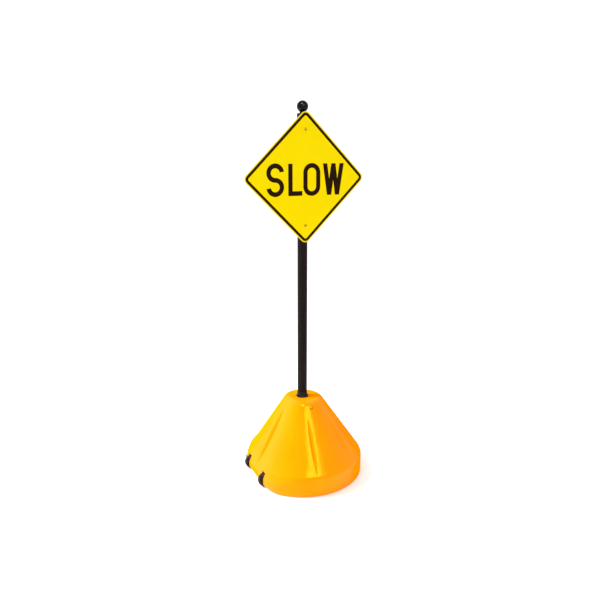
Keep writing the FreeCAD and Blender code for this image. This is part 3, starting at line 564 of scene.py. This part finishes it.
def flute_depth(turn, height, reach):
    """How deep the flutes cut in: a crisp valley, steep on its -X side, pointed at both ends."""
    depth = 0.0
    for place, foot, head, deepest, gentle_side in FLUTES:
        along = (2 * height - foot - head) / (head - foot)
        fullness = 1 - along ** 2
        if fullness <= 0:
            continue
        middle = place * FLUTE_GRID - FLUTE_LEAN * along * min(1, place)
        beyond = math.radians(abs(turn) - middle) * reach
        side = gentle_side if beyond > 0 else FLUTE_STEEP_SIDE
        across = abs(beyond) / (side * math.sqrt(fullness))
        if across < 1:
            depth += deepest * fullness * (1 - across) ** 2
    return depth


def base_columns():
    """Angles from -X for the base's columns, close together across each flute."""
    coarse, fine, flank = 1.25, 0.3, 6.0
    columns = [-180 + coarse * step for step in range(round(360 / coarse))]
    centres = [side * flute[0] * FLUTE_GRID for flute in FLUTES for side in (-1, 1)]
    columns = [turn for turn in columns if all(abs(turn - centre) > flank for centre in centres)]
    steps = round(flank / fine)
    for centre in centres:
        columns += [centre + fine * step for step in range(-steps, steps + 1)]
    return sorted(set(round(turn, 3) for turn in columns))


def toe_lift(x):
    """How far the underside is raised under the flat side."""
    return TOE_HEIGHT * min(1.0, max(0.0, (FLAT_REACH - x) / -TOE_RUN + 1))


def base_rings(columns):
    """Rings up the outside of the base, from its underside to the rim of the collar's seat."""
    around = [Vector((-math.cos(math.radians(turn)), -math.sin(math.radians(turn)), 0)) for turn in columns]
    rings = []

    def ring(reaches, heights):
        rings.append([way * reach + Z_AXIS * height for way, reach, height in zip(around, reaches, heights)])

    feet = [base_reach(turn, 0) for turn in columns]
    for share in UNDERSIDE_SHARES:
        ring([foot * share for foot in feet], [0] * len(feet))
    for step in range(BOTTOM_ROWS + 1):
        round_turn = math.pi / 2 * step / BOTTOM_ROWS
        inward = BOTTOM_ROUND * (1 - math.sin(round_turn))
        up = BOTTOM_ROUND * (1 - math.cos(round_turn))
        ring([foot - inward for foot in feet], [up] * len(feet))
    leans = []
    for turn in columns:
        drop = base_reach(turn, BASE_HEIGHT - SHOULDER_ROUND) - base_reach(turn, BASE_HEIGHT)
        leans.append(math.atan(drop / SHOULDER_ROUND))
    shoulder_starts = [BASE_HEIGHT - SHOULDER_ROUND * (1 - math.sin(lean)) for lean in leans]
    for row in range(1, WALL_ROWS + 1):
        heights = [BOTTOM_ROUND + (top - BOTTOM_ROUND) * row / WALL_ROWS for top in shoulder_starts]
        reaches = []
        for turn, height in zip(columns, heights):
            reach = base_reach(turn, height)
            reaches.append(reach - flute_depth(turn, height, reach))
        ring(reaches, heights)
    middles = []
    for turn, lean in zip(columns, leans):
        tangent = SHOULDER_ROUND * math.tan((math.pi / 2 - lean) / 2)
        middles.append(base_reach(turn, BASE_HEIGHT) - tangent)
    for step in range(1, SHOULDER_ROWS + 1):
        turns = [lean + (math.pi / 2 - lean) * step / SHOULDER_ROWS for lean in leans]
        ring([middle + SHOULDER_ROUND * math.cos(turn) for middle, turn in zip(middles, turns)],
             [BASE_HEIGHT - SHOULDER_ROUND * (1 - math.sin(turn)) for turn in turns])
    return rings


def socket_profile():
    """Radii and heights from the top plate, over a shallow ring, down the collar's seat and the socket."""
    seat = BASE_HEIGHT - COLLAR_SEAT_DEPTH
    return [
        (TOP_PLATE_RADIUS, BASE_HEIGHT),
        (DISH_RADIUS + 0.004, BASE_HEIGHT),
        (DISH_RADIUS + 0.001, BASE_HEIGHT - DISH_DEPTH * 0.4),
        (DISH_RADIUS - 0.001, BASE_HEIGHT - DISH_DEPTH),
        (COLLAR_SEAT_RADIUS + 0.002, BASE_HEIGHT - DISH_DEPTH),
        (COLLAR_SEAT_RADIUS, BASE_HEIGHT - DISH_DEPTH - 0.002),
        (COLLAR_SEAT_RADIUS, seat),
        (SOCKET_RADIUS, seat),
        (SOCKET_RADIUS, SOCKET_FLOOR),
    ]


def fill_frame():
    """The middle of the fill neck's foot and the way it points."""
    turn = math.radians(FILL_ANGLE)
    away = Vector((-math.cos(turn), -math.sin(turn), 0))
    foot = away * base_reach(FILL_ANGLE, FILL_Z) + Z_AXIS * FILL_Z
    return foot, (away + Z_AXIS * ROUND_SLOPE).normalized()


def bar_tool(radius, start, way, length, segments=64):
    """A round bar to cut or add with."""
    points, faces = loft(turned_rings([(radius, 0), (radius, length)], segments, start, way))
    return new_piece("tool", points, faces, YELLOW)


def well_tool(side):
    """The arch that a wheel turns in, open below."""
    half = WELL_WIDTH / 2
    below_floor = -0.1
    outline = [(-WELL_RADIUS, below_floor)]
    steps = 40
    for step in range(steps + 1):
        turn = math.pi - math.pi * step / steps
        outline.append((WELL_RADIUS * math.cos(turn), WELL_RADIUS * math.sin(turn)))
    outline.append((WELL_RADIUS, below_floor))
    rings = []
    for y in (side * WHEEL_Y - half, side * WHEEL_Y + half):
        rings.append([Vector((AXLE_X + x, y, AXLE_Z + z)) for x, z in outline])
    points, faces = loft(rings)
    return new_piece("tool", points, faces, YELLOW)


def cavity_tool():
    """The ballast space round the socket, seen only down the fill neck."""
    inner, floor, ceiling = 0.045, 0.010, 0.480
    outline = [(inner, floor), (0.28, floor), (0.30, 0.100), (0.10, ceiling), (inner, ceiling)]
    points, faces = loft(turned_rings(outline, 64, Vector(), Z_AXIS), closed=True)
    return new_piece("tool", points, faces, YELLOW)


def base_body():
    """The base: its lofted skin with the neck added and the socket, wells and bores cut in."""
    columns = base_columns()
    rings = base_rings(columns)
    for ring in rings:
        for point in ring:
            lift = toe_lift(-point.x)
            if point.z < FLAT_WALL_HEIGHT:
                point.z += lift * (1 - point.z / FLAT_WALL_HEIGHT)
    for radius, height in socket_profile():
        rings.append([Vector((-radius * math.cos(math.radians(turn)), -radius * math.sin(math.radians(turn)),
                              height)) for turn in columns])
    points, faces = loft(rings)
    base = new_piece("base_body", points, faces, YELLOW)
    foot, way = fill_frame()
    bury, core = 0.004, 0.012
    rim = softened([(core, -bury, 0), (NECK_RADIUS + bury, -bury, 0), (NECK_RADIUS, bury, 0.003),
                    (NECK_RADIUS, NECK_RISE, 0.0015), (core, NECK_RISE, 0)])
    neck_points, neck_faces = loft(turned_rings(rim, 96, foot, way))
    cut(base, [new_piece("tool", neck_points, neck_faces, YELLOW)], "UNION")
    front = Vector((0, -BASE_RADIUS, LOCK_Z))
    tools = [
        cavity_tool(),
        bar_tool(NECK_BORE_RADIUS, foot - way * 0.05, way, 0.08),
        well_tool(-1),
        well_tool(1),
        bar_tool(LOCK_DIMPLE_RADIUS, front, Y_AXIS, LOCK_SEAT_Y + BASE_RADIUS),
        bar_tool(LOCK_INSERT_RADIUS, front, Y_AXIS, LOCK_SEAT_Y + BASE_RADIUS + LOCK_INSERT_LENGTH),
        bar_tool(LOCK_RADIUS + LOCK_CLEARANCE, front, Y_AXIS, BASE_RADIUS - POLE_RADIUS),
        bar_tool(AXLE_RADIUS + AXLE_CLEARANCE, Vector((AXLE_X, -WHEEL_Y - 0.041, AXLE_Z)), Y_AXIS, 0.5),
        bar_tool(2 * AXLE_RADIUS, Vector((AXLE_X, PLUG_LOW.y, AXLE_Z)), Y_AXIS, 0.1),
    ]
    cut(base, tools)
    return settle(base, "base", "base_yellow", "base_shell")


# ---- Pieces --------------------------------------------------------------------------------

def collar_boot():
    """The flared rubber boot, with a beaded foot and a rolled lip at the top."""
    foot = BASE_HEIGHT
    inner = POLE_RADIUS + 0.00007
    sleeve = COLLAR_SEAT_RADIUS - COLLAR_CLEARANCE
    outline = softened([
        (inner, COLLAR_LOW.z, 0), (sleeve, COLLAR_LOW.z, 0.0006), (sleeve, foot, 0),
        (COLLAR_FOOT_RADIUS, foot, 0.0006), (COLLAR_FOOT_RADIUS, foot + 0.005, 0.002),
        (inner + 0.0040, foot + 0.0085, 0.004),
        (inner + 0.0018, COLLAR_HIGH.z - 0.004, 0.004), (inner + 0.0026, COLLAR_HIGH.z - 0.0015, 0.001),
        (inner + 0.0012, COLLAR_HIGH.z, 0.0005), (inner, COLLAR_HIGH.z - 0.001, 0)])
    return settle(turned_piece("collar_boot", outline, 128, Vector(), Z_AXIS, COLLAR_RUBBER),
                  "collar", "black_rubber", "socket_collar")


def tyre(name, body, node, side):
    """A rounded solid tyre with a parting line round its tread and a step on each side wall."""
    half = TYRE_WIDTH / 2
    tread = TYRE_RADIUS
    wall = tread - 0.011
    low_tread = tread - 0.0006
    outline = softened([
        (HUB_RADIUS, -half + 0.001, 0.0006), (wall - 0.003, -half + 0.001, 0.0006),
        (wall - 0.002, -half, 0.0006), (wall + 0.001, -half, 0.0008),
        (low_tread, -half + 0.007, 0.007), (low_tread, -0.001, 0),
        (tread, -0.0005, 0), (tread, 0.0005, 0),
        (low_tread, 0.001, 0), (low_tread, half - 0.007, 0.007),
        (wall + 0.001, half, 0.0008), (wall - 0.002, half, 0.0006),
        (wall - 0.003, half - 0.001, 0.0006), (HUB_RADIUS, half - 0.001, 0.0006)], 6)
    centre = Vector((AXLE_X, side * WHEEL_Y, AXLE_Z))
    piece = turned_piece(name, outline, 144, centre, Y_AXIS, TYRE_RUBBER)
    return settle(piece, body, "tyre_black", node)


def pole_ball():
    """The ball cap: a skirt with a soft flat shoulder, a waist and a ball."""
    radius = BALL_HIGH.x
    middle = BALL_HIGH.z - radius
    shoulder = POLE_HIGH.z + 0.009
    bore = POLE_RADIUS + 0.0001
    lower = softened([(bore, BALL_LOW.z, 0.0), (SKIRT_RADIUS, BALL_LOW.z, 0.001),
                      (SKIRT_RADIUS, shoulder, 0.0035), (WAIST_RADIUS, shoulder + 0.0005, 0.003)], 6)[:-1]
    join = math.asin(WAIST_RADIUS / radius)
    ball = []
    steps = 40
    for step in range(steps + 1):
        turn = join + (math.pi - 0.02 - join) * step / steps
        ball.append((radius * math.sin(turn), middle - radius * math.cos(turn)))
    inside = [(0.0008, POLE_HIGH.z + 0.0002), (bore, POLE_HIGH.z + 0.0002)]
    piece = turned_piece("pole_ball", lower + ball + inside, 144, Vector(), Z_AXIS, POLISHED)
    return settle(piece, "mast", "cap_black", "ball_cap")


def hexagon_head(flats, height, place, way, material):
    """A hexagon head with its outer corners chamfered round and a thin washer face underneath."""
    segments = 72
    rings = []
    turn = Z_AXIS.rotation_difference(way).to_matrix()
    # Share of the height, limit on the radius in half flats, and whether the row is round.
    rows = [(0.0, 0.95, True), (0.04, 0.95, True), (0.05, 9.0, False), (0.80, 9.0, False),
            (0.93, 1.06, False), (1.0, 0.94, False), (1.0, 0.5, True), (1.0, 0.02, True)]
    for share, limit, is_round in rows:
        ring = []
        for step in range(segments):
            angle = 2 * math.pi * step / segments
            nearest = (angle + math.pi / 6) % (math.pi / 3) - math.pi / 6
            hexagon = flats / 2 / math.cos(nearest)
            radius = limit * flats / 2 if is_round else min(hexagon, limit * flats / 2)
            ring.append(place + turn @ round_point(radius, angle, share * height))
        rings.append(ring)
    points, faces = loft(rings)
    return new_piece("head", points, faces, material)


def threaded_shank(radius, pitch, length, place, way, material):
    """A shank with a real thread: rings whose radius follows a helix."""
    segments, rows_a_turn = 36, 6
    turn = Z_AXIS.rotation_difference(way).to_matrix()
    depth = 0.3 * pitch
    rows = round(length / pitch * rows_a_turn)
    rings = []
    for row in range(rows + 1):
        height = length * row / rows
        taper = min(1.0, (length - height) / (2 * pitch) + 0.55)
        ring = []
        for step in range(segments):
            angle = 2 * math.pi * step / segments
            phase = (height / pitch - step / segments) % 1
            local = (radius - depth * (1 - abs(2 * phase - 1))) * taper
            ring.append(place + turn @ round_point(local, angle, height))
        rings.append(ring)
    points, faces = loft(rings)
    return new_piece("shank", points, faces, material)


def lock_bolt():
    """The hexagon bolt that grips the pole: head and threaded shank."""
    seat = Vector((0, WASHER_LOW.y, LOCK_Z))
    flats = BOLT_HIGH.z - BOLT_LOW.z
    across_x = BOLT_HIGH.x - BOLT_LOW.x
    head = hexagon_head(min(flats, across_x), WASHER_LOW.y - BOLT_LOW.y, seat, -Y_AXIS, DARK_STEEL)
    shank = threaded_shank(LOCK_RADIUS, LOCK_THREAD_PITCH, BOLT_HIGH.y - seat.y, seat, Y_AXIS, DARK_STEEL)
    return settle(joined("lock_bolt_piece", [head, shank]), "lock_bolt", "dark_steel", "lock_bolt")


def fill_cap():
    """The screw cap: a ribbed flange, a crowned top and a rounded bar to turn it by."""
    foot, way = fill_frame()
    seat = foot + way * (NECK_RISE + GASKET_THICKNESS + 0.00002)
    turn = Z_AXIS.rotation_difference(way).to_matrix()
    segments, grip_segments = 240, 64
    plug = NECK_BORE_RADIUS - 0.0003
    bore = plug - 0.004
    recess = CAP_FLANGE - CAP_RECESS
    # Radius, height and how far the ribs show.
    rows = [(bore, 0.0, 0), (bore, -CAP_PLUG_DEPTH, 0), (plug, -CAP_PLUG_DEPTH, 0), (plug, 0.0, 0),
            (CAP_RADIUS - 0.0015, 0.0, 0), (CAP_RADIUS, 0.0008, 1), (CAP_RADIUS, 0.0045, 1),
            (CAP_RADIUS - 0.0012, 0.0056, 0.4), (CAP_RADIUS - 0.004, CAP_FLANGE, 0), (0.028, CAP_FLANGE, 0),
            (0.026, recess, 0), (0.010, recess, 0), (0.0005, recess, 0)]
    rings = []
    for radius, height, ribbed in rows:
        ring = []
        for step in range(segments):
            angle = 2 * math.pi * step / segments
            local = radius - ribbed * CAP_RIB_DEPTH * (0.5 - 0.5 * math.cos(CAP_RIBS * angle))
            ring.append(seat + turn @ round_point(local, angle, height))
        rings.append(ring)
    points, faces = loft(rings)
    flange = new_piece("flange", points, faces, BLACK_PLASTIC)
    grip_half = CAP_RADIUS - 0.008
    # Share of the grip's width, and height over the recess.
    grip_rows = [(1.06, -0.001), (1.0, 0.001), (0.97, GRIP_HEIGHT * 0.7), (0.90, GRIP_HEIGHT * 0.93),
                 (0.78, GRIP_HEIGHT), (0.3, GRIP_HEIGHT)]
    grip_rings = []
    for share, height in grip_rows:
        ring = []
        for step in range(grip_segments):
            angle = 2 * math.pi * step / grip_segments
            cosine, sine = math.cos(angle), math.sin(angle)
            x = math.copysign(abs(cosine) ** 0.35, cosine) * (grip_half - GRIP_WIDTH * (1 - share) * 1.5)
            y = math.copysign(abs(sine) ** 0.7, sine) * GRIP_WIDTH * share
            ring.append(seat + turn @ Vector((x, y, recess + height)))
        grip_rings.append(ring)
    points, faces = loft(grip_rings)
    grip = new_piece("grip", points, faces, BLACK_PLASTIC)
    return settle(joined("fill_cap_piece", [flange, grip]), "cap", "black_plastic", "fill_cap")


base_body()
collar_boot()
tyre("tyre_left", "wheel_left", "wheel_left_tyre", -1)
tyre("tyre_right", "wheel_right", "wheel_right_tyre", 1)
pole_ball()
lock_bolt()
fill_cap()

# ---- CAD nodes that show as they are -------------------------------------------------------

CARRIED = {
    POWDER: ["pole"],
    FILM: ["sign_sheeting"],
    INK: ["sign_border", "legend_s", "legend_l", "legend_o", "legend_w"],
    SHEET_METAL: ["sign_panel"],
    CAST_METAL: ["upper_saddle", "upper_strap", "lower_saddle", "lower_strap"],
    ZINC: ["axle", "axle_washers", "clamp_bolts", "clamp_washers", "clamp_nuts", "sign_nuts",
           "cap_set_screw"],
    SIGN_ZINC: ["sign_bolts"],
    DARK_STEEL: ["lock_bolt_washer"],
    BRASS: ["lock_insert"],
    NYLON: ["sign_washers"],
    BLACK_PLASTIC: ["axle_end_plug", "pole_foot_plug", "wheel_left_hub", "wheel_right_hub"],
    COLLAR_RUBBER: ["fill_cap_gasket"],
}
for material, names in CARRIED.items():
    for name in names:
        slots = NODES[name].material_slots
        if not slots:
            NODES[name].data.materials.append(material)
        for slot in slots:
            slot.material = material


# ---- Floor, lights and camera --------------------------------------------------------------

FLOOR_GLOW = 0.18
FLOOR_HALF = 14.0
FLOOR_BACK = 7.0
FLOOR_BEND = 3.0
FLOOR_BEND_STEPS = 24
BACKDROP_HEIGHT = 12.0

SKY_STRENGTH = 0.96
WHITE = (1.0, 1.0, 1.0, 1)
# Each light: name, place, target, size, power, whether it lights surfaces and whether it shines on them.
LIGHTS = (
    ("key", (-3.4, 1.5, 4.2), (0, 0, 0.3), (2.0, 2.0), 330, True, False),
    ("sheen", (0.05, -4.3, 4.0), (0, 0, 0.35), (2.9, 1.8), 150, False, True),
    ("glint", (-1.46, -1.90, 5.58), (0, 0, 2.5), (0.9, 0.7), 160, False, True),
)


def stage_floor():
    """A pale studio floor that curves up behind the object and glows faintly."""
    shade = Shade("studio_floor", specular=0.1)
    clouds = shade.span(shade.noise(3, 3), 0.3, 0.7)
    colour = shade.blend(clouds, (0.93, 0.93, 0.93, 1), (0.95, 0.95, 0.95, 1))
    shade.bump([(shade.noise(150, 2), 0.0001)])
    shade.shader.inputs["Emission Color"].default_value = WHITE
    shade.shader.inputs["Emission Strength"].default_value = FLOOR_GLOW
    material = shade.finish(colour, 0.85)
    profile = [(-FLOOR_HALF, 0)]
    for step in range(FLOOR_BEND_STEPS + 1):
        turn = math.pi / 2 * step / FLOOR_BEND_STEPS
        profile.append((FLOOR_BACK + FLOOR_BEND * math.sin(turn), FLOOR_BEND * (1 - math.cos(turn))))
    profile.append((FLOOR_BACK + FLOOR_BEND, BACKDROP_HEIGHT))
    points = [Vector((x, y, z)) for y, z in profile for x in (-FLOOR_HALF, FLOOR_HALF)]
    faces = [(2 * row, 2 * row + 1, 2 * row + 3, 2 * row + 2) for row in range(len(profile) - 1)]
    floor = new_piece("studio_floor", points, faces, material)


def soft_light(name, place, target, size, power, lights_up, shines):
    """A rectangular soft box aimed at a point, which can be kept to plain light or to shine."""
    data = bpy.data.lights.new(name, "AREA")
    data.shape = "RECTANGLE"
    data.size, data.size_y = size
    data.energy = power
    light = bpy.data.objects.new(name, data)
    light.location = place
    light.rotation_euler = (Vector(target) - Vector(place)).to_track_quat("-Z", "Y").to_euler()
    light.visible_camera = False
    light.visible_diffuse = lights_up
    light.visible_glossy = shines
    bpy.context.scene.collection.objects.link(light)


def sky(strength):
    """Plain white light from all round."""
    world = bpy.data.worlds.new("studio")
    world.use_nodes = True
    background = world.node_tree.nodes["Background"]
    background.inputs["Color"].default_value = WHITE
    background.inputs["Strength"].default_value = strength
    bpy.context.scene.world = world


def photo_camera():
    """The camera fitted to the photo."""
    data = bpy.data.cameras.new("photo_camera")
    data.sensor_width = CAMERA_SENSOR
    data.lens = CAMERA_LENS
    camera = bpy.data.objects.new("photo_camera", data)
    camera.location = CAMERA_PLACE
    camera.rotation_euler = (math.radians(CAMERA_TILT), 0, math.radians(CAMERA_HEADING))
    bpy.context.scene.collection.objects.link(camera)
    bpy.context.scene.camera = camera


stage_floor()
sky(SKY_STRENGTH)
for light in LIGHTS:
    soft_light(*light)
photo_camera()
bpy.context.scene.view_settings.view_transform = "Standard"
